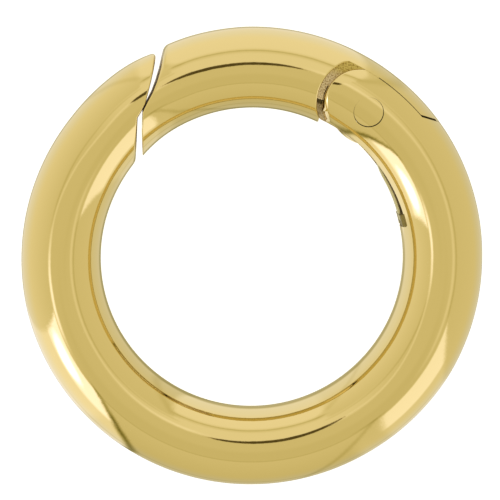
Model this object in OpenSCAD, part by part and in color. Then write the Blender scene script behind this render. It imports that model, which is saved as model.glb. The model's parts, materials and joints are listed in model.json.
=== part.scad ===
// Round spring-gate ring clasp, closed. The ring's axis is Z and its centre is the origin.
// The body is the C of the ring, with a fork at its upper right end. The gate closes the top:
// its tongue turns on a pin in the fork, and its free end stops against the body's upper left end.

/* [Ring] */
// Outside diameter of the closed ring
ring_od = 18; // [17.8:0.05:18.2]
// Diameter of the round wire that the ring is made of
wire_d = 3.1; // [3.05:0.01:3.2]

/* [Hinge] */
// Distance of the pin from the ring's centre
pin_r = 7.25; // [7.2:0.01:7.3]
// Direction of the pin, in degrees from +X
pin_angle = 53.4; // [53:0.1:54]
// Diameter of the hinge pin
pin_d = 1.1; // [0.9:0.02:1.2]
// Radius of the fork's rounded end
fork_end_r = 1.35; // [1.3:0.01:1.38]
// Place of the middle of that rounded end, from the ring's centre along X
fork_end_x = 3.95; // [3.92:0.01:3.98]
// Place of the middle of that rounded end, from the ring's centre along Y
fork_end_y = 6.08; // [6.05:0.01:6.1]
// How far the gate opens, in degrees
open_angle = 20; // [10:1:22]
// Room between the pin and the bore of the gate's tongue, all round
pin_run = 0.03; // [0.01:0.01:0.06]
// Room between the pin and the holes in the fork, all round
pin_seat = 0.02; // [0.01:0.01:0.03]

/* [Tongue] */
// Half the width of the fork's outer channel, which the tongue's broad part fills
channel_half_w = 1.12; // [1.05:0.01:1.16]
// Half the width of the fork's inner slot, which the tongue's blade fills
slot_half_w = 0.73; // [0.65:0.01:0.8]
// Room at each side of the tongue and under it
tongue_gap = 0.04; // [0.02:0.01:0.06]
// Slope of the tail's underside, in degrees
tail_slope = -17.6; // [-20:0.2:-16]
// Height of the tail's underside over the pin's axis, square to that slope
tail_rise = 0.48; // [0.45:0.01:0.55]
// Radius of the heel about the pin
heel_r = 1.28; // [1.2:0.01:1.3]
// Radius, from the ring's centre, of the step under the neck's broad part
neck_step_r = 6.77; // [6.7:0.01:6.9]
// Radius, from the ring's centre, of the blade's inner edge
blade_edge_r = 6.06; // [6:0.01:6.2]

/* [Shoulder] */
// Radius of the shoulder's round corner, where the gate thins to its neck
shoulder_r = 1.58; // [1.55:0.01:1.6]
// Place of that corner's centre, from the ring's centre along X
shoulder_x = 3.95; // [3.92:0.01:3.98]
// Place of that corner's centre, from the ring's centre along Y
shoulder_y = 6.2; // [6.17:0.01:6.23]

/* [Spring] */
// Thickness of the leaf spring's strip
leaf_t = 0.07; // [0.05:0.01:0.12]
// Half the width of the strip
leaf_half_w = 0.3; // [0.25:0.01:0.6]
// Radius, from the ring's centre, of the middle of the strip where it leaves its foot
leaf_foot_r = 5.98; // [5.97:0.01:6.04]
// The same radius where the strip starts to bend out towards the heel
leaf_r = 6.02; // [6:0.01:6.08]
// Direction in which the strip starts to bend out towards the heel, in degrees from +X
leaf_bend_angle = 31; // [28:1:33]
// Direction of the slot's lower end, in degrees from +X
slot_end_angle = 12.8; // [12:0.1:13.2]
// Radius, from the ring's centre, of the bottom of the spring's slot
slot_floor_r = 7; // [6.95:0.01:7.1]

/* [Hidden] */
$fn = 96;

ring_r = (ring_od - wire_d) / 2;
wire_r = wire_d / 2;
pin_x = pin_r * cos(pin_angle);
pin_y = pin_r * sin(pin_angle);
reach = ring_od;
// Half the height of what cuts through the whole wire, and a height in the plane beyond the ring.
through_half_h = 2;
beyond_y = 9.6;
tongue_half_w = channel_half_w - tongue_gap;
blade_half_w = slot_half_w - tongue_gap;

// The two faces of the catch, in the plane of the ring, from outside to inside: x, y.
// They nearly meet at the step in the middle, which is the gate's stop.
body_catch = [
    [-3.42, beyond_y], [-3.87, 7.39], [-4.00, 6.82], [-4.18, 6.11], [-4.33, 5.80],
    [-4.47, 5.56], [-4.53, 4.00], [-4.55, 3.50]
];
gate_catch = [
    [-3.17, beyond_y], [-3.59, 7.53], [-3.75, 6.97], [-3.91, 6.54], [-4.12, 6.13],
    [-4.28, 5.78], [-4.30, 5.12], [-4.25, 3.90]
];

// Points in the eye, below the wire, where the gate's window and the gate's arm end.
window_foot = [3.3, 4.6];
arm_foot = [3.2, 3.9];
// The arm ends this far right of the shoulder's centre, inside what the shoulder's cut takes away.
arm_overlap = 0.2;
arm_low_y = 5;
// The band that the tongue's blade and neck share with the gate's arm, from X to the pin.
neck_start_x = 2;
neck_low_y = 4.6;
// Where the fork's channel is opened for the tongue to turn in, left of the pin.
channel_left = 2.6;
channel_margin_angle = 3;
// The shoulder's straight lengths leave its round corner this far from its ends.
shoulder_end_angle = 25;
// The neck's broad part stays this far outside the fork's rounded end as it turns about the pin.
neck_gap = 0.05;

// The leaf spring: a foot that fills the slot's lower end, and a strip that lies along the ring
// and then bends out, so that its tip sits in a notch in the heel.
foot_start_angle = slot_end_angle + 0.2;
foot_span_angle = 4.5;
foot_gap = 0.02;
foot_inner_r = 5.95;
strip_root_angle = 15;
notch_angle = -75;
notch_depth = 0.3;
notch_half_w = 0.17;
notch_reach = 1;
tip_gap = 0.1;
strip_steps = 16;

notch_r = heel_r - notch_depth + tip_gap;
strip_tip = [pin_x + notch_r * cos(notch_angle), pin_y + notch_r * sin(notch_angle)];
strip_tip_angle = atan2(strip_tip[1], strip_tip[0]);

// Radius of the strip's middle in the direction a, and a point on one of its two faces.
function strip_r(a) =
    a < leaf_bend_angle
    ? leaf_foot_r
        + (leaf_r - leaf_foot_r) * (a - strip_root_angle) / (leaf_bend_angle - strip_root_angle)
    : leaf_r
        + (norm(strip_tip) - leaf_r)
        * pow((a - leaf_bend_angle) / (strip_tip_angle - leaf_bend_angle), 2);
function strip_point(s, side) =
    let (a = strip_root_angle + s * (strip_tip_angle - strip_root_angle))
    (strip_r(a) + side * leaf_t / 2) * [cos(a), sin(a)];

module whole_ring() {
    rotate_extrude() translate([ring_r, 0]) circle(r = wire_r);
}

// A prism through the whole wire, or through its middle when half_w is less.
module slab(points, half_w = through_half_h) {
    translate([0, 0, -half_w]) linear_extrude(height = 2 * half_w) polygon(points);
}

module disc_at_pin(r, half_w = through_half_h) {
    translate([pin_x, pin_y, -half_w]) cylinder(r = r, h = 2 * half_w);
}

module disc_at_centre(r, half_w = through_half_h) {
    translate([0, 0, -half_w]) cylinder(r = r, h = 2 * half_w);
}

// The fork's rounded end, grown all round by a gap and turned back about the pin.
module fork_end(gap = 0, turn = 0) {
    translate([pin_x, pin_y, -through_half_h])
        rotate([0, 0, -turn])
            translate([fork_end_x - pin_x, fork_end_y - pin_y, 0])
                cylinder(r = fork_end_r + gap, h = 2 * through_half_h);
}

// The part of the plane above the tail's underside, turned about the pin.
module above_tail(turn, drop, left, right, half_w) {
    translate([pin_x, pin_y, 0])
        rotate([0, 0, tail_slope + turn])
            translate([-left, tail_rise - drop, -half_w])
                cube([left + right, reach, 2 * half_w]);
}

// All that the gate's arm and its opening take out of the ring, but for the fork's round end.
module gate_window() {
    difference() {
        slab(concat(body_catch, [window_foot, [pin_x, pin_y], [pin_x, beyond_y]]));
        fork_end();
    }
}

module fork_cuts() {
    above_tail(0, tongue_gap, channel_left, reach, channel_half_w);
    above_tail(
        open_angle + channel_margin_angle, tongue_gap, channel_left, channel_left, channel_half_w
    );
    translate([pin_x - channel_left, pin_y - channel_left, -slot_half_w])
        cube([channel_left, 2 * channel_left, 2 * slot_half_w]);
    disc_at_pin(heel_r + tongue_gap, slot_half_w);
    intersection() {
        disc_at_centre(slot_floor_r, slot_half_w);
        slab([
            [0, 0],
            [reach * cos(slot_end_angle), reach * sin(slot_end_angle)],
            [reach * cos(pin_angle), reach * sin(pin_angle)]
        ]);
    }
}

module body() {
    color([0.80, 0.71, 0.38])
        difference() {
            whole_ring();
            gate_window();
            fork_cuts();
            disc_at_pin(pin_d / 2 + pin_seat);
        }
}

// What is cut away beside the neck, between the gate's shoulder and the fork.
module shoulder_cut() {
    end_x = shoulder_r * cos(shoulder_end_angle);
    translate([shoulder_x, shoulder_y, -through_half_h]) {
        cylinder(r = shoulder_r, h = 2 * through_half_h);
        translate([-end_x, -reach, 0]) cube([reach, reach, 2 * through_half_h]);
        cube([reach, end_x, 2 * through_half_h]);
    }
}

module gate_arm() {
    arm_end_x = shoulder_x + arm_overlap;
    difference() {
        slab(concat(gate_catch, [arm_foot, [arm_end_x, arm_low_y], [arm_end_x, beyond_y]]));
        shoulder_cut();
    }
}

module neck() {
    difference() {
        translate([neck_start_x, neck_low_y, -tongue_half_w])
            cube([pin_x - neck_start_x, reach, 2 * tongue_half_w]);
        disc_at_centre(neck_step_r);
        for (turn = [0, open_angle / 2, open_angle]) fork_end(neck_gap, turn);
    }
}

module blade() {
    difference() {
        translate([neck_start_x, neck_low_y, -blade_half_w])
            cube([pin_x - neck_start_x, reach, 2 * blade_half_w]);
        disc_at_centre(blade_edge_r);
    }
    disc_at_pin(heel_r, blade_half_w);
}

module tip_notch() {
    translate([pin_x, pin_y, -through_half_h])
        rotate([0, 0, notch_angle])
            translate([heel_r - notch_depth, -notch_half_w, 0])
                cube([notch_reach, 2 * notch_half_w, 2 * through_half_h]);
}

module gate() {
    color([0.80, 0.71, 0.38])
        difference() {
            intersection() {
                whole_ring();
                union() {
                    gate_arm();
                    neck();
                    blade();
                    above_tail(0, 0, channel_left, reach, tongue_half_w);
                }
            }
            disc_at_pin(pin_d / 2 + pin_run);
            tip_notch();
        }
}

module hinge_pin() {
    color([0.78, 0.69, 0.36])
        intersection() {
            whole_ring();
            disc_at_pin(pin_d / 2);
        }
}

module spring_foot() {
    foot_end_angle = foot_start_angle + foot_span_angle;
    intersection() {
        difference() {
            disc_at_centre(slot_floor_r - foot_gap, slot_half_w - foot_gap);
            disc_at_centre(foot_inner_r);
        }
        slab([
            [0, 0],
            [reach * cos(foot_start_angle), reach * sin(foot_start_angle)],
            [reach * cos(foot_end_angle), reach * sin(foot_end_angle)]
        ]);
    }
}

module leaf_spring() {
    color([0.62, 0.58, 0.48])
        union() {
            spring_foot();
            slab(
                concat(
                    [for (i = [0:strip_steps]) strip_point(i / strip_steps, 1)],
                    [for (i = [strip_steps:-1:0]) strip_point(i / strip_steps, -1)]
                ),
                leaf_half_w
            );
        }
}

body();
gate();
hinge_pin();
leaf_spring();
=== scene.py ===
import json
import math

import bpy
import numpy as np
from mathutils import Matrix, Vector


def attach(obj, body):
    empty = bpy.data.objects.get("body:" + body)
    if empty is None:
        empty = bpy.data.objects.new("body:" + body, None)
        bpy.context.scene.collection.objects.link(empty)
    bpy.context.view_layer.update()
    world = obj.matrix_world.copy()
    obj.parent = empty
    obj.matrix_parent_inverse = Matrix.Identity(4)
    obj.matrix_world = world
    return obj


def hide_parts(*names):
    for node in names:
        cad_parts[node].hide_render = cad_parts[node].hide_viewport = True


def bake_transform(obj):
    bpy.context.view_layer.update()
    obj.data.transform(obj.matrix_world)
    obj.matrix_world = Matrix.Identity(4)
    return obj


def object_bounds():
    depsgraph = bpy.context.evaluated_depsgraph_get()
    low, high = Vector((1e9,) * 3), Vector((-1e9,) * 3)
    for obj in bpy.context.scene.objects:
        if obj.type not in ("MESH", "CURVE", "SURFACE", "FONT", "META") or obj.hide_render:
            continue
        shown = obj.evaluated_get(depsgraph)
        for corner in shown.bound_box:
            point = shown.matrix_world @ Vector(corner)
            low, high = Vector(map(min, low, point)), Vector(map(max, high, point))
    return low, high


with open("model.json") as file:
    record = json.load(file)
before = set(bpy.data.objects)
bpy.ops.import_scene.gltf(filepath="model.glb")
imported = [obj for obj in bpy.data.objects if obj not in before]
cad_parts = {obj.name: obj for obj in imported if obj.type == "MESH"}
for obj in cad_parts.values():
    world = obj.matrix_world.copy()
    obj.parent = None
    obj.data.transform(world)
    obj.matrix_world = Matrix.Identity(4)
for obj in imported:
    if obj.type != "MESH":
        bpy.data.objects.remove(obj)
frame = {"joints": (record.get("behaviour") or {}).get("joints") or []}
cad_low, cad_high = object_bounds()
mm = 0.001

# Camera: 70 mm above the ring and leaning 8 degrees towards its top, as the ring was seen, with the
# ring resting on its side on the floor.
lean_back = math.radians(8.07)
lean_left = math.radians(2.07)
camera_place = (-0.0905 * mm, 0.345 * mm, 70.25 * mm)
bpy.ops.object.camera_add()
camera = bpy.context.object
camera.name = "camera"
camera.data.lens = 129.6
camera.data.sensor_width = 36
camera.data.clip_start = mm
lean = Matrix.Rotation(lean_left, 4, "Y") @ Matrix.Rotation(lean_back, 4, "X")
camera.matrix_world = lean.inverted() @ Matrix.Translation(camera_place)
bpy.context.scene.camera = camera

# Body: the C of the ring, one piece of round 14 carat wire bent to a circle, with a fork milled into
# its upper right end and the catch filed at its upper left end. The round of the wire is polished to
# a mirror, and the walls of the fork are left as the mill left them.
wire_r = round(cad_high.z, 6)
ring_r = round(cad_high.x, 6) - wire_r
pin_x, pin_y = (round(v / mm, 4) for v in frame["joints"][0]["pos_m"][:2])
pin_angle = math.degrees(math.atan2(pin_y, pin_x))
# Half the height of a tool that passes through the wire, a height in the plane beyond the ring, and
# how far a tool reaches above the tail's underside.
through = 2
beyond_y = 9.6
over_tail = 5
window_foot = (3.3, 4.6)
# The catch face in the plane of the ring, from outside to inside.
body_catch = [
    (-3.42, beyond_y), (-3.87, 7.39), (-4.00, 6.82), (-4.18, 6.11), (-4.33, 5.80),
    (-4.47, 5.56), (-4.53, 4.00), (-4.55, 3.50),
]
fork_end = (3.95, 6.08)
fork_end_r = 1.35
ear_start, ear_stop = 246, 66
channel_half_w = 1.12
channel_left = 2.6
channel_right = 5
channel_margin = 3
slot_half_w = 0.73
slot_floor_r = 7.0
slot_end_angle = 12.8
tongue_gap = 0.04
tail_slope = -17.6
tail_rise = 0.48
open_angle = 20
heel_r = 1.28
pin_hole_r = 0.57
# The wire is worn thinner at the upper left, and is a little thicker at the lower right.
inner_r = 5.9
worn, worn_at, worn_span, worn_ease = 0.09, 142, 50, 0.8
thicker, thicker_at, thicker_span = 0.05, 330, 30
# How finely the wire is divided near its edges, how near that is, what counts as on its round, and
# the angle between two faces below which they are shaded as one.
divisions = 10
catch_near = 0.22
ear_near = 0.26
on_round = 0.003
smooth_below = math.radians(30)


def metal(name, colour, roughness):
    """A metal material of a colour and roughness, with its nodes, links and shader."""
    made = bpy.data.materials.new(name)
    made.use_nodes = True
    shader = made.node_tree.nodes["Principled BSDF"]
    shader.inputs["Base Color"].default_value = (*colour, 1)
    shader.inputs["Metallic"].default_value = 1
    shader.inputs["Roughness"].default_value = roughness
    return made, made.node_tree.nodes, made.node_tree.links, shader


def bumps(nodes, links, shader, layers):
    """Adds noise bumps one on another: each is a scale per metre, a detail and a height in metres."""
    place = nodes.new("ShaderNodeTexCoord")
    below = None
    for scale, detail, height in layers:
        noise = nodes.new("ShaderNodeTexNoise")
        noise.inputs["Scale"].default_value = scale
        noise.inputs["Detail"].default_value = detail
        links.new(place.outputs["Object"], noise.inputs["Vector"])
        bump = nodes.new("ShaderNodeBump")
        bump.inputs["Distance"].default_value = height
        links.new(noise.outputs["Fac"], bump.inputs["Height"])
        if below:
            links.new(below.outputs["Normal"], bump.inputs["Normal"])
        below = bump
    links.new(below.outputs["Normal"], shader.inputs["Normal"])
    return place


def mottle(nodes, links, place, scale, spread, low, high, socket):
    """Drives a socket by noise at a scale per metre: from low to high over the spread given."""
    noise = nodes.new("ShaderNodeTexNoise")
    noise.inputs["Scale"].default_value = scale
    noise.inputs["Detail"].default_value = 3
    links.new(place.outputs["Object"], noise.inputs["Vector"])
    ramp = nodes.new("ShaderNodeValToRGB")
    for stop, position, value in zip(ramp.color_ramp.elements, spread, (low, high)):
        stop.position = position
        stop.color = (*value, 1) if isinstance(value, tuple) else (value, value, value, 1)
    links.new(noise.outputs["Fac"], ramp.inputs["Fac"])
    links.new(ramp.outputs["Color"], socket)


hand_waves = (700, 1, 4e-6)
buffing_marks = (5000, 2, 7e-7)
polished_gold, nodes, links, shader = metal("polished_gold", (0.80, 0.66, 0.30), 0.05)
place = bumps(nodes, links, shader, [hand_waves, buffing_marks])
mottle(
    nodes, links, place, scale=2500, spread=(0.35, 0.75), low=0.035, high=0.085,
    socket=shader.inputs["Roughness"],
)

# The milled walls are coloured in bands round the ring: each is a distance from its centre in mm, and
# the metal's colour there. The dark band from 6.66 to 6.80 mm is painted shade along the step between
# neck and blade.
bands_start, bands_end = 6, 9
milled_bands_and_shade = [
    (6.60, (0.60, 0.49, 0.31)), (6.66, (0.17, 0.13, 0.06)), (6.80, (0.17, 0.13, 0.06)),
    (6.87, (0.84, 0.71, 0.48)), (7.80, (0.84, 0.71, 0.48)), (8.20, (0.68, 0.54, 0.17)),
]
mill_pits = (12000, 3, 1e-5)
mill_grain = (34000, 2, 4e-6)
milled_gold, nodes, links, shader = metal("milled_gold", (0.78, 0.66, 0.42), 0.42)
place = bumps(nodes, links, shader, [mill_pits, mill_grain])
reach = nodes.new("ShaderNodeVectorMath")
reach.operation = "LENGTH"
links.new(place.outputs["Object"], reach.inputs[0])
along = nodes.new("ShaderNodeMapRange")
along.inputs["From Min"].default_value = bands_start * mm
along.inputs["From Max"].default_value = bands_end * mm
links.new(reach.outputs["Value"], along.inputs["Value"])
tone = nodes.new("ShaderNodeValToRGB")
links.new(along.outputs["Result"], tone.inputs["Fac"])
# The ramp's dark stop at 6.66 to 6.80 mm is painted shade, not a stain.
for reached, colour in milled_bands_and_shade:
    stop = tone.color_ramp.elements.new((reached - bands_start) / (bands_end - bands_start))
    stop.color = (*colour, 1)
tone.color_ramp.elements.remove(tone.color_ramp.elements[-1])
tone.color_ramp.elements.remove(tone.color_ramp.elements[0])
speckle = nodes.new("ShaderNodeMix")
speckle.data_type = "RGBA"
speckle.blend_type = "MULTIPLY"
speckle.inputs["Factor"].default_value = 1
links.new(tone.outputs["Color"], speckle.inputs["A"])
mottle(
    nodes, links, place, scale=18000, spread=(0.36, 0.52), low=(0.50, 0.42, 0.30), high=(1.0, 1.0, 1.0),
    socket=speckle.inputs["B"],
)
links.new(speckle.outputs["Result"], shader.inputs["Base Color"])

file_marks = (16000, 2, 4e-6)
filed_gold, nodes, links, shader = metal("filed_gold", (0.68, 0.61, 0.56), 0.4)
bumps(nodes, links, shader, [file_marks])

# Seam finish: a near-black metal on the walls of the pin's hole, the rivet's side and the tail's end,
# painted shade in these narrow slits.
seam_bumps = (12000, 3, 6e-6)
painted_seam_shade, nodes, links, shader = metal("painted_seam_shade", (0.10, 0.075, 0.03), 0.5)
bumps(nodes, links, shader, [seam_bumps])


def only(piece):
    """Makes the piece the only one selected, and the active one."""
    bpy.ops.object.select_all(action="DESELECT")
    piece.select_set(True)
    bpy.context.view_layer.objects.active = piece


def ring_blank(name):
    """The whole closed ring of round wire, finely divided so that it mirrors without ripples."""
    bpy.ops.object.select_all(action="DESELECT")
    bpy.ops.mesh.primitive_torus_add(
        major_segments=384, minor_segments=80, major_radius=ring_r, minor_radius=wire_r
    )
    blank = bpy.context.object
    blank.name = name
    blank.data.materials.append(polished_gold)
    return blank


def block(outline, half_h, finish):
    """A tool that passes through the wire: its outline in mm, and half its height, also one by one."""
    bpy.ops.object.select_all(action="DESELECT")
    bpy.ops.mesh.primitive_circle_add(vertices=len(outline), radius=mm, fill_type="NGON")
    tool = bpy.context.object
    half = half_h if isinstance(half_h, list) else [half_h] * len(outline)
    for vertex, (x, y), h in zip(tool.data.vertices, outline, half):
        vertex.co = (x * mm, y * mm, -h * mm)
    bpy.ops.object.mode_set(mode="EDIT")
    bpy.ops.mesh.select_all(action="SELECT")
    bpy.ops.mesh.extrude_region_move(TRANSFORM_OT_translate={"value": (0, 0, mm)})
    bpy.ops.object.mode_set(mode="OBJECT")
    for vertex, h in zip(tool.data.vertices[len(outline):], half):
        vertex.co.z = h * mm
    bpy.ops.object.mode_set(mode="EDIT")
    bpy.ops.mesh.select_all(action="SELECT")
    bpy.ops.mesh.normals_make_consistent(inside=False)
    bpy.ops.object.mode_set(mode="OBJECT")
    tool.data.materials.append(finish)
    return tool


def arc(centre, r, start, end, steps):
    """Points on a circle, from one direction to another, in mm and degrees."""
    angles = [math.radians(start + (end - start) * i / steps) for i in range(steps + 1)]
    return [(centre[0] + r * math.cos(a), centre[1] + r * math.sin(a)) for a in angles]


def circle(centre, r, points):
    """Points all round a circle, in mm."""
    return arc(centre, r, 0, 360 - 360 / points, points - 1)


def combine(piece, how, *tools):
    """Joins the tools to piece, cuts them out of it or keeps what they share, and removes them."""
    for tool in tools:
        step = piece.modifiers.new("step", "BOOLEAN")
        step.operation = how
        step.solver = "EXACT"
        step.material_mode = "TRANSFER"
        step.object = tool
        only(piece)
        bpy.ops.object.modifier_apply(modifier="step")
        bpy.data.objects.remove(tool)
    return piece


def above_tail(angle, rise, left, right, half_h, finish):
    """What lies above the tail's underside, a line turned by angle about the pin. Half its height may
    change from its left end to its right."""
    a = math.radians(angle)
    along, over = Vector((math.cos(a), math.sin(a))), Vector((-math.sin(a), math.cos(a)))
    pin = Vector((pin_x, pin_y))
    top = rise + over_tail
    corners = [(-left, rise), (right, rise), (right, top), (-left, top)]
    if isinstance(half_h, list):
        half_h = half_h + half_h[::-1]
    return block([tuple(pin + x * along + y * over) for x, y in corners], half_h, finish)


def read(items, name, size):
    """A value of every vertex, face or corner of a mesh, as an array."""
    values = np.empty(len(items) * size)
    items.foreach_get(name, values)
    return values.reshape(-1, size) if size > 1 else values


def out_of_wire(places):
    """The direction straight out of the round wire at places in mm, and how far each is outside it."""
    rho = np.hypot(places[:, 0], places[:, 1])
    middle = places * (ring_r / mm / rho)[:, None]
    middle[:, 2] = 0
    out = places - middle
    length = np.linalg.norm(out, axis=1)
    return out / length[:, None], length - wire_r / mm


def beside(places, line):
    """How far places in the plane are from an open line, and which way its left side faces there."""
    line = np.array(line)
    along = line[1:] - line[:-1]
    lengths = np.linalg.norm(along, axis=1)
    sides = np.stack([-along[:, 1], along[:, 0]], 1) / lengths[:, None]
    sides = np.concatenate([sides[:1], sides[:-1] + sides[1:], sides[-1:]])
    far = np.full(len(places), np.inf)
    left = np.zeros((len(places), 2))
    for i, start in enumerate(line[:-1]):
        t = np.clip((places - start) @ along[i] / lengths[i] ** 2, 0, 1)[:, None]
        gap = np.linalg.norm(places - start - t * along[i], axis=1)
        near = gap < far
        far[near] = gap[near]
        left[near] = ((1 - t) * sides[i] + t * sides[i + 1])[near]
    return far, left / np.linalg.norm(left, axis=1)[:, None]


def divide_near(blank, lines, reach):
    """Divides the faces of the wire near lines in the plane, and sets their new points on the round."""
    mesh = blank.data
    only(blank)
    bpy.context.tool_settings.mesh_select_mode = (False, False, True)
    bpy.ops.object.mode_set(mode="EDIT")
    bpy.ops.mesh.select_all(action="DESELECT")
    bpy.ops.object.mode_set(mode="OBJECT")
    middles = read(mesh.polygons, "center", 3)[:, :2] / mm
    mesh.polygons.foreach_set(
        "select", np.min([beside(middles, line)[0] for line in lines], axis=0) < reach
    )
    bpy.ops.object.mode_set(mode="EDIT")
    bpy.ops.mesh.subdivide(number_cuts=divisions - 1)
    bpy.ops.object.mode_set(mode="OBJECT")
    places = read(mesh.vertices, "co", 3) / mm
    out, above = out_of_wire(places)
    mesh.vertices.foreach_set("co", ((places - out * above[:, None]) * mm).ravel())
    mesh.update()


def turned(vectors, angle):
    """Vectors turned about the ring's axis, each by its own angle."""
    x = vectors[:, 0] * np.cos(angle) - vectors[:, 1] * np.sin(angle)
    y = vectors[:, 0] * np.sin(angle) + vectors[:, 1] * np.cos(angle)
    return np.column_stack([x, y, vectors[:, 2]])


def polish(piece, edges=(), slant=None):
    """Shades the piece smooth, truly round on the wire's own surface, and rounds that surface's edges.
    Each edge is a line in the plane with what is cut away on its left, how wide the rounding is
    there, and how far and over what length the surface falls towards it, all in mm. A slant is a
    line, how much the cut along it leans round the ring, in degrees for each mm of height, and over
    what length."""
    only(piece)
    bpy.ops.object.shade_smooth_by_angle(angle=smooth_below)
    mesh = piece.data
    places = read(mesh.vertices, "co", 3) / mm
    out, above = out_of_wire(places)
    round_points = abs(above) < on_round
    round_faces = abs(out_of_wire(read(mesh.polygons, "center", 3) / mm)[1]) < on_round
    facing = out.copy()
    move = np.zeros_like(places)
    for line, width, fall, length in edges:
        far, left = beside(places[:, :2], line)
        left = np.column_stack([left, np.zeros(len(far))])
        down = out - (out * left).sum(1)[:, None] * left
        down /= np.linalg.norm(down, axis=1)[:, None] + 1e-9
        w = np.maximum(width(places), 1e-4)
        turn = np.clip(1 - far / w, 0, 1)
        upright = np.sqrt(1 - turn ** 2)
        ease = np.clip(1 - far / length, 0, 1)
        drop = fall(places)
        move -= down * (w * (1 - upright) + drop * ease ** 2)[:, None]
        facing = facing * upright[:, None] + left * (turn + 2 * drop * ease / length)[:, None]
    facing /= np.linalg.norm(facing, axis=1)[:, None]
    normals = read(mesh.corner_normals, "vector", 3)
    owner = np.repeat(round_faces, read(mesh.polygons, "loop_total", 1).astype(int))
    point = read(mesh.loops, "vertex_index", 1).astype(int)
    owner &= round_points[point]
    normals[owner] = facing[point[owner]]
    if slant:
        line, lean, length = slant
        ease = np.clip(1 - beside(places[:, :2], line)[0] / length, 0, 1)
        angle = np.radians(lean(places) * places[:, 2] * ease)
    else:
        angle = np.zeros(len(places))
    places[round_points] += move[round_points]
    rho = np.hypot(places[:, 0], places[:, 1])
    az = np.degrees(np.arctan2(places[:, 1], places[:, 0])) % 360
    thin = worn * np.clip(1 - abs(az - worn_at) / worn_span, 0, 1) ** worn_ease
    thin = thin - thicker * np.clip(1 - abs(az - thicker_at) / thicker_span, 0, 1)
    places[:, :2] *= (1 - thin * (rho - inner_r) / wire_r * mm / 2 / rho)[:, None]
    places = turned(places, angle)
    normals = turned(normals, angle[point])
    mesh.vertices.foreach_set("co", (places * mm).ravel())
    mesh.update()
    mesh.normals_split_custom_set(normals)


pin = (pin_x, pin_y)
body = ring_blank("ring_body")
ear = arc(fork_end, fork_end_r, ear_start, ear_stop, 90)
divide_near(body, [body_catch], catch_near)
divide_near(body, [ear], ear_near)
window = block(body_catch + [window_foot, pin, (pin_x, beyond_y)], through, filed_gold)
combine(window, "DIFFERENCE", block(circle(fork_end, fork_end_r, 180), through + 1, polished_gold))
floor_rise = tail_rise - tongue_gap
swung_slope = tail_slope + open_angle + channel_margin
slot_left, slot_low, slot_top = pin_x - channel_left, pin_y - channel_left, pin_y + channel_left
slot = [(slot_left, slot_low), (pin_x, slot_low), (pin_x, slot_top), (slot_left, slot_top)]
slot_along_ring = [(0, 0)] + arc((0, 0), slot_floor_r, slot_end_angle, pin_angle, 48)
fork = above_tail(tail_slope, floor_rise, channel_left, channel_right, channel_half_w, milled_gold)
combine(
    fork, "UNION",
    above_tail(swung_slope, floor_rise, channel_left, channel_left, channel_half_w, milled_gold),
    block(slot, slot_half_w, milled_gold),
    block(circle(pin, heel_r + tongue_gap, 60), slot_half_w, milled_gold),
    block(slot_along_ring, slot_half_w, milled_gold),
)
# The pin's hole has dark walls: painted shade in the hair line round the rivet.
pin_hole = block(circle(pin, pin_hole_r, 60), through, painted_seam_shade)
combine(body, "DIFFERENCE", window, fork, pin_hole)


def across(*values):
    """Values over the wire in even steps, from the ring's inner side to its outer side."""
    steps = np.linspace(-wire_r / mm, wire_r / mm, len(values))
    return lambda places: np.interp(np.hypot(places[:, 0], places[:, 1]) - ring_r / mm, steps, values)


ear_left, ear_left_span = 190, 50
ear_thins_over = 0.12


def round_ear(width, more):
    """Values round the ear: more at its left, and none where it thins out above the tail and blade."""
    def value(places):
        angle = np.degrees(np.arctan2(places[:, 1] - fork_end[1], places[:, 0] - fork_end[0])) % 360
        t = np.clip(1 - abs(angle - ear_left) / ear_left_span, 0, 1)
        height = np.where(places[:, 1] > pin_y, channel_half_w, slot_half_w)
        thick = np.clip((abs(places[:, 2]) - height) / ear_thins_over, 0, 1)
        return (width + more * t * t * (3 - 2 * t)) * thick
    return value


catch_lean = across(-0.22, -0.24, -0.26, -0.28, -0.30)
catch_lean_length = 1.5
body_rounding = across(0.10, 0.07, 0.05, 0.07, 0.22)
body_fall = across(0.03, 0.05, 0.065, 0.08, 0.16)
body_fall_length = 1.5
ear_rounding = round_ear(0.045, 0.18)
ear_fall = round_ear(0.035, 0)
ear_fall_length = 0.45
polish(
    body,
    [
        (body_catch, body_rounding, body_fall, body_fall_length),
        (ear, ear_rounding, ear_fall, ear_fall_length),
    ],
    (body_catch, catch_lean, catch_lean_length),
)
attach(body, "ring")
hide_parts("body")

# Leaf spring: a strip of rolled spring metal. Its foot is brazed into the lower end of
# the fork's inner slot, and its bowed strip presses on the gate's heel.
leaf_t = 0.07
leaf_half_w = 0.3
leaf_foot_r = 5.98
leaf_r = 6.02
leaf_bend_angle = 31
root_angle = 15
strip_steps = 32
foot_inner_r = 5.95
foot_start_angle = 13.0
foot_end_angle = 17.5
foot_gap = 0.02
# The notch in the gate's heel that the strip's tip sits in.
notch_angle = math.radians(-75)
notch_depth = 0.3
notch_half_w = 0.17
notch_reach = 0.7
tip_gap = 0.1
notch_r = heel_r - notch_depth + tip_gap
tip = Vector(pin) + notch_r * Vector((math.cos(notch_angle), math.sin(notch_angle)))
tip_angle = math.degrees(math.atan2(tip.y, tip.x))

rolling_marks = (6000, 2, 4e-6)
rolled_grain = (26000, 2, 2e-6)
spring_strip, nodes, links, shader = metal("spring_strip", (0.86, 0.80, 0.50), 0.33)
bumps(nodes, links, shader, [rolling_marks, rolled_grain])

brazed_skin = (14000, 2, 6e-6)
brazing, nodes, links, shader = metal("brazing", (0.30, 0.25, 0.10), 0.45)
bumps(nodes, links, shader, [brazed_skin])


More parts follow.
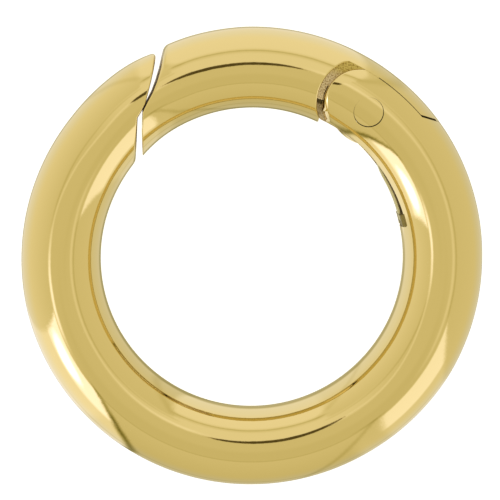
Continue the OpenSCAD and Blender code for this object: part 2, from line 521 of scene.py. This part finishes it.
def strip_side(side):
    """One face of the strip, from its root to its tip, in mm."""
    points = []
    for i in range(strip_steps + 1):
        angle = root_angle + (tip_angle - root_angle) * i / strip_steps
        lie = min(1, (angle - root_angle) / (leaf_bend_angle - root_angle))
        bend = max(0, (angle - leaf_bend_angle) / (tip_angle - leaf_bend_angle))
        r = leaf_foot_r + (leaf_r - leaf_foot_r) * lie + (tip.length - leaf_r) * bend ** 2
        r += side * leaf_t / 2
        points.append((r * math.cos(math.radians(angle)), r * math.sin(math.radians(angle))))
    return points


leaf = block(strip_side(-1) + strip_side(1)[::-1], leaf_half_w, spring_strip)
foot = block(
    arc((0, 0), foot_inner_r, foot_start_angle, foot_end_angle, 10)
    + arc((0, 0), slot_floor_r - foot_gap, foot_end_angle, foot_start_angle, 10),
    slot_half_w - foot_gap, brazing,
)
combine(leaf, "UNION", foot)
leaf.name = "gate_spring"
only(leaf)
bpy.ops.object.shade_smooth_by_angle(angle=smooth_below)
bend_start = strip_side(0)[strip_steps // 2]
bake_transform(leaf)
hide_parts("leaf_spring")

# Gate: the arm of the same round wire that closes the top. Its right end is milled thinner, to a neck
# and a tongue that turns in the fork, and its left end is filed to the stepped catch.

# The catch face in the plane of the ring, from outside to inside.
gate_catch = [
    (-3.17, beyond_y), (-3.59, 7.53), (-3.75, 6.97), (-3.91, 6.54), (-4.12, 6.13),
    (-4.28, 5.78), (-4.30, 5.12), (-4.25, 3.90),
]
shoulder = (3.95, 6.2)
shoulder_r = 1.58
shoulder_end = 25
shoulder_near = 0.14
shoulder_overlap = 0.9
arm_overlap = 0.2
arm_low_y = 3.9
neck_low_y = 4.6
tongue_half_w = channel_half_w - 0.01
tongue_bore_r = 0.58
# The tail lies on a dark filler, painted shade that makes the dark line under its end, and it narrows
# towards that end.
tail_right = 5
tail_ends_half_w = [1.116, 1.085]
tail_end_lift = 0.03
shade_filler_left = 1
shade_filler_half_w = 0.55
blade_half_w = slot_half_w - tongue_gap
neck_step_r = 6.77
blade_edge_r = 6.06
neck_gap = 0.02
neck_start_x = 2

corner_x = shoulder[0] - shoulder_r * math.cos(math.radians(shoulder_end))
corner_y = shoulder[1] + shoulder_r * math.cos(math.radians(shoulder_end))
shoulder_arc = arc(shoulder, shoulder_r, 180 + shoulder_end, 90 - shoulder_end, 70)
shoulder_right = shoulder[0] + shoulder_overlap
shoulder_line = [(shoulder_right, corner_y)] + shoulder_arc[::-1] + [(corner_x, arm_low_y)]
gate = ring_blank("gate_arm")
divide_near(gate, [gate_catch], catch_near)
divide_near(gate, [shoulder_line], shoulder_near)
arm_right = shoulder[0] + arm_overlap
form = block(gate_catch + [(arm_right, arm_low_y), (arm_right, beyond_y)], through, filed_gold)
keep_left, keep_low, keep_top = -6, 3, beyond_y + 0.5
keep_arm = block(
    [(keep_left, keep_low), (corner_x, keep_low)] + shoulder_arc
    + [(shoulder_right, corner_y), (shoulder_right, keep_top), (keep_left, keep_top)],
    through + 0.5, milled_gold,
)
combine(form, "INTERSECT", keep_arm)
band = [(neck_start_x, neck_low_y), (pin_x, neck_low_y), (pin_x, beyond_y), (neck_start_x, beyond_y)]
neck = block(band, tongue_half_w, milled_gold)
combine(neck, "DIFFERENCE", block(circle((0, 0), neck_step_r, 180), through, milled_gold))
for back in (0, open_angle / 2, open_angle):
    swing = Matrix.Rotation(math.radians(-back), 2)
    swung = swing @ (Vector(fork_end) - Vector(pin)) + Vector(pin)
    room = block(circle(swung, fork_end_r + neck_gap, 90), through, milled_gold)
    combine(neck, "DIFFERENCE", room)
blade = block(band, blade_half_w, milled_gold)
combine(blade, "DIFFERENCE", block(circle((0, 0), blade_edge_r, 180), through, milled_gold))
tail_end_rise = tail_rise + tail_end_lift
shade_filler_rise = tail_rise - tail_end_lift
combine(
    form, "UNION", neck, blade,
    block(circle(pin, heel_r, 60), blade_half_w, milled_gold),
    above_tail(tail_slope, tail_rise, channel_left, 0, tongue_half_w, milled_gold),
    # The tail's end and the filler under it take the dark seam finish: painted shade in the slit under
    # that end.
    above_tail(tail_slope, tail_end_rise, 0, tail_right, tail_ends_half_w, painted_seam_shade),
    above_tail(tail_slope, shade_filler_rise, shade_filler_left, tail_right, shade_filler_half_w, painted_seam_shade),
)
notch_in, notch_out = heel_r - notch_depth, heel_r + notch_reach
notch_corners = [
    (notch_in, -notch_half_w), (notch_out, -notch_half_w), (notch_out, notch_half_w),
    (notch_in, notch_half_w),
]
notch_turn = Matrix.Rotation(notch_angle, 2)
notch = [tuple(Vector(pin) + notch_turn @ Vector(corner)) for corner in notch_corners]
combine(
    form, "DIFFERENCE",
    block(circle(pin, tongue_bore_r, 60), through + 1, milled_gold),
    block(notch, through + 1, milled_gold),
)
combine(gate, "INTERSECT", form)

shoulder_rounding = 0.07
shoulder_thins_over = 0.08


def shoulder_width(places):
    """The shoulder's edge is thin, and ends where the tail's round goes on over the fork."""
    outer = np.hypot(places[:, 0], places[:, 1]) > ring_r / mm
    height = np.where(outer, (abs(places[:, 2]) - tongue_half_w) / shoulder_thins_over, 1)
    return shoulder_rounding * np.clip(height, 0, 1)


gate_rounding = across(0.05, 0.05, 0.06, 0.13, 0.14)
gate_fall = across(-0.07, -0.06, 0.02, 0.03, 0.03)
gate_fall_length = 1.2
no_fall = across(0)
polish(
    gate,
    [
        (gate_catch[::-1], gate_rounding, gate_fall, gate_fall_length),
        (shoulder_line, shoulder_width, no_fall, 1),
    ],
    (gate_catch, catch_lean, catch_lean_length),
)
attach(gate, "gate")
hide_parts("gate")

# Hinge pin: a gold rivet through the fork and the tongue, its ends filed and polished flush with the
# round of the wire. It stands a little off the middle of its hole, so a hair line shows on one side.
# Its side takes the dark seam finish: painted shade in that hair line.
rivet = ring_blank("hinge_rivet")
rivet_r = 0.55
rivet_off = 0.02
rivet_lean = math.radians(112)
rivet_middle = (pin_x + rivet_off * math.cos(rivet_lean), pin_y + rivet_off * math.sin(rivet_lean))
combine(rivet, "INTERSECT", block(circle(rivet_middle, rivet_r, 60), through, painted_seam_shade))
polish(rivet)
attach(rivet, "ring")
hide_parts("hinge_pin")

# Floor: a plain sheet of white card that the ring lies on. It glows a little, which keeps it white
# close to the ring, and the gold doesn't mirror it.
bpy.ops.object.select_all(action="DESELECT")
bpy.ops.mesh.primitive_plane_add(size=2, location=(0, 0, cad_low.z))
floor = bpy.context.object
floor.name = "floor"
pale = bpy.data.materials.new("pale_floor")
pale.use_nodes = True
sheet = pale.node_tree.nodes["Principled BSDF"].inputs
sheet["Base Color"].default_value = (0.93, 0.93, 0.93, 1)
sheet["Roughness"].default_value = 0.9
sheet["Specular IOR Level"].default_value = 0
sheet["Emission Color"].default_value = (1, 1, 1, 1)
sheet["Emission Strength"].default_value = 0.9
floor.data.materials.append(pale)
floor.visible_glossy = False

# Light tent: a dome of white cloth, 100 mm from the ring, that the gold mirrors and that nothing else
# sees. Two lamps shine through its lower left and lower right, seams part its sides, and above the
# ring is a slit for the lens.
tent_r = 100 * mm


def soft(edge, width, x):
    """Rises from 0 to 1 over a width with its middle at the edge."""
    t = min(max((x - edge) / width + 0.5, 0), 1)
    return t * t * (3 - 2 * t)


def stripe(middle, half, x):
    """1 in the middle, and 0 from half a width away."""
    t = max(1 - abs(x - middle) / half, 0)
    return t * t * (3 - 2 * t)


def between(low, high, width, x):
    """1 between low and high, fading over a width at each."""
    return soft(low, width, x) * (1 - soft(high, width, x))


# Sides of the tent: from and to, in degrees round from +X, and how far each edge fades.
top_side = (54.8, 117.8, 4)
left_side = (117.8, 206, 3)
bottom_side = (231.7, 297, 4)
left_lamp_from, left_lamp_to, left_lamp_fade = 206, 229.7, 1.5
right_lamp_from, right_lamp_to, right_lamp_fade = 305, 332.5, 3
# The lamps widen or narrow past this tilt, in degrees for each degree.
lamp_tilt = 38
left_lamp_widens = 0.185
right_lamp_narrows = 0.13
# Light of the walls, and what each side has more or less, above and low down.
wall_light, top_more, left_more, bottom_less = 0.643, 0.19, 0.047, 0.024
low_middle, low_span, low_least = 60, 60, -0.4
low_more, low_left_more, low_bottom_less = 0.03, 0.09, 0.09
# Light of the lamps: behind the whole cloth, in their window, and in the left one's core.
left_lamp_light, left_window, left_window_light = 0.27, (37, 74.2, 10), 0.36
core_az, core_tilt, core_half_az, core_half_tilt, core_light = 216, 60, 9, 14, 1.2
right_lamp_light, right_window, right_window_light = 0.09, (40, 82.4, 8), 0.29
# Light of the roof, and where it is brighter behind the top and dimmer over the bottom.
roof_light, roof_top_more, roof_bottom_less = 0.622, 0.153, 0.035
roof_top, roof_top_end, roof_bottom, roof_bottom_start = (35, 140, 60), (19, 6), (225, 320, 30), (12, 12)
# Bright hems along the roof's left and right: where they run, their tilt and how much of it they lose
# on the way, half their width, and their light. The left one has a glint.
left_hem, left_hem_tilt, left_hem_loses, left_hem_bend = (120, 218, 12), 35.2, 16.9, (90, 165, 40)
right_hem, right_hem_tilt, right_hem_loses, right_hem_bend = (-42, 60, 16), 29.3, 6, (25, 40)
hem_half_w, hem_light, hem_glint, glint_at = 6, 0.12, 0.55, (203, 26)
# The tilt where roof and walls meet, and how much lower that is at the top.
eaves, eaves_drop, eaves_fade = 40.3, 13.2, 5


def wall_glow(az, tilt, top, left, left_lamp, bottom, right_lamp):
    """How bright the tent's sides are, with the share of each side in a direction."""
    low = min(max((tilt - low_middle) / low_span, low_least), 1)
    glow = wall_light + top_more * top + left_more * left - bottom_less * bottom
    glow += low * (low_more + low_left_more * left - low_bottom_less * bottom)
    core = 1 - ((az - core_az) / core_half_az) ** 2 - ((tilt - core_tilt) / core_half_tilt) ** 2
    window = between(*left_window, tilt) * (left_window_light + core_light * max(core, 0))
    glow += left_lamp * (left_lamp_light + window)
    glow += right_lamp * (right_lamp_light + right_window_light * between(*right_window, tilt))
    return glow


def roof_glow(az, tilt):
    """How bright the roof is, with a bright hem along its left and its right."""
    right_az = az - 360 if az > 180 else az
    glow = roof_light + roof_top_more * between(*roof_top, az) * soft(*roof_top_end, tilt)
    glow -= roof_bottom_less * between(*roof_bottom, az) * soft(*roof_bottom_start, tilt)
    left_middle = left_hem_tilt - left_hem_loses * between(*left_hem_bend, az)
    right_middle = right_hem_tilt - right_hem_loses * soft(*right_hem_bend, max(right_az, 0))
    at_left = between(*left_hem, az) * stripe(left_middle, hem_half_w, tilt)
    at_right = between(*right_hem, right_az) * stripe(right_middle, hem_half_w, tilt)
    return glow + (hem_light + hem_glint * stripe(*glint_at, az)) * at_left + hem_light * at_right


# Seams at the edges of the top and of the lamps: the share of light that each takes and how much more
# it takes low down, where it is round the tent, how much it leans past what tilt, half its width, and
# the tilt where it starts and how softly.
seams = [
    (0.12, 0.0, 54.5, -0.15, 48, 4.0, 45, 6),
    (0.10, 0.0, 116.0, 0.30, 58, 4.0, 50, 6),
    (0.45, 0.3, 231.5, 0.15, 38, 2.8, 37, 3),
    (0.20, 0.0, 302.5, -0.19, 35, 2.2, 35, 3),
]
seam_low_down = (58, 20)
# A seam low down across the bottom: the share of light that it takes, where it runs, and its tilt.
low_seam_takes, low_seam, low_seam_at = 0.22, (225, 320, 20), (122, 3)


def seam_shade(az, tilt):
    """The share of the light that the seams leave."""
    left_over = 1 - low_seam_takes * between(*low_seam, az) * stripe(*low_seam_at, tilt)
    for takes, takes_more, middle, lean, past, half_w, start, fade in seams:
        depth = takes + takes_more * soft(*seam_low_down, tilt)
        here = stripe(middle + lean * (tilt - past), half_w, az)
        left_over *= 1 - depth * here * soft(start, fade, tilt)
    return left_over


# What the roof's hem takes from the cloth under it, at the tilt and with the half width given: over
# the top, also in a narrow line, over the plain cloth and over the bottom. The floor shades the rest.
top_shade, top_shade_at, top_line, top_line_at = 0.12, (52.8, 10), 0.14, (53.4, 3)
plain_shade, plain_shade_at, bottom_shade, bottom_shade_at = 0.09, (36.5, 4), 0.08, (39.5, 2.5)
floor_takes, floor_from = 0.45, (150, 16)


def tent_glow(az, tilt):
    """How bright the tent is in a direction: degrees from +X, and degrees from straight up."""
    past = tilt - lamp_tilt
    top = between(*top_side, az)
    left = between(*left_side, az)
    left_lamp = between(left_lamp_from, left_lamp_to + left_lamp_widens * past, left_lamp_fade, az)
    bottom = between(*bottom_side, az)
    right_lamp = between(
        right_lamp_from, right_lamp_to - right_lamp_narrows * past, right_lamp_fade, az
    )
    walls = wall_glow(az, tilt, top, left, left_lamp, bottom, right_lamp)
    below = soft(eaves + eaves_drop * top, eaves_fade, tilt)
    glow = roof_glow(az, tilt) * (1 - below) + walls * below
    plain = (1 - top) * (1 - bottom) * (1 - left_lamp) * (1 - right_lamp)
    glow -= (top_shade * stripe(*top_shade_at, tilt) + top_line * stripe(*top_line_at, tilt)) * top
    glow -= plain_shade * stripe(*plain_shade_at, tilt) * plain
    glow -= bottom_shade * stripe(*bottom_shade_at, tilt) * bottom
    return glow * seam_shade(az, tilt) * (1 - floor_takes * soft(*floor_from, tilt))


# The slit for the lens: its middle and its half length and half width, in degrees from straight up,
# and how dark it is.
slit_x, slit_y, slit_half_x, slit_half_y, slit_dark = -1.9, 16.7, 10.5, 4, 0.89
cloth_red, cloth_green, cloth_blue = 1.155, 1.137, 0.896


def tent_colour(az, tilt):
    """The tent's light: warm where the cloth is dim, and cool where a lamp or the floor lights it.
    The slit above the ring shows the dark room."""
    level = tent_glow(az, tilt)
    low = soft(105, 30, tilt)
    red = min(1.15 - 0.12 * level, 1.1) - 0.05 * low
    blue = min(0.15 + 1.17 * level, 2) + 0.2 * low
    x, y = tilt * math.cos(math.radians(az)), tilt * math.sin(math.radians(az))
    slit = soft(1, 0.4, 2 - ((x - slit_x) / slit_half_x) ** 2 - ((y - slit_y) / slit_half_y) ** 2)
    level *= 1 - slit_dark * slit
    return (
        cloth_red * level * red * (1 + 0.2 * slit),
        cloth_green * level,
        cloth_blue * level * blue * (1 - 0.5 * slit),
        1,
    )


bpy.ops.object.select_all(action="DESELECT")
bpy.ops.mesh.primitive_uv_sphere_add(segments=360, ring_count=200, radius=tent_r)
tent = bpy.context.object
tent.name = "light_tent"
glow = tent.data.attributes.new("glow", "FLOAT_COLOR", "POINT")
for vertex in tent.data.vertices:
    towards = vertex.co.normalized()
    az = math.degrees(math.atan2(towards.y, towards.x)) % 360
    glow.data[vertex.index].color = tent_colour(az, math.degrees(math.acos(towards.z)))
bpy.ops.object.shade_smooth()
cloth = bpy.data.materials.new("tent_cloth")
cloth.use_nodes = True
cloth.cycles.emission_sampling = "NONE"
nodes, links = cloth.node_tree.nodes, cloth.node_tree.links
nodes.clear()
shine = nodes.new("ShaderNodeEmission")
level = nodes.new("ShaderNodeAttribute")
level.attribute_name = "glow"
links.new(level.outputs["Color"], shine.inputs["Color"])
surface = nodes.new("ShaderNodeOutputMaterial").inputs["Surface"]
links.new(shine.outputs["Emission"], surface)
tent.data.materials.append(cloth)
for kind in ("camera", "diffuse", "transmission", "volume_scatter", "shadow"):
    setattr(tent, "visible_" + kind, False)

# Room light: the white light of the room round the tent, even from all sides. With the floor's own
# glow it makes the floor white.
room = bpy.data.worlds.new("room")
bpy.context.scene.world = room
room.use_nodes = True
room.node_tree.nodes["Background"].inputs["Color"].default_value = (1, 1, 1, 1)
room.node_tree.nodes["Background"].inputs["Strength"].default_value = 0.3
bpy.context.scene.view_settings.view_transform = "Standard"
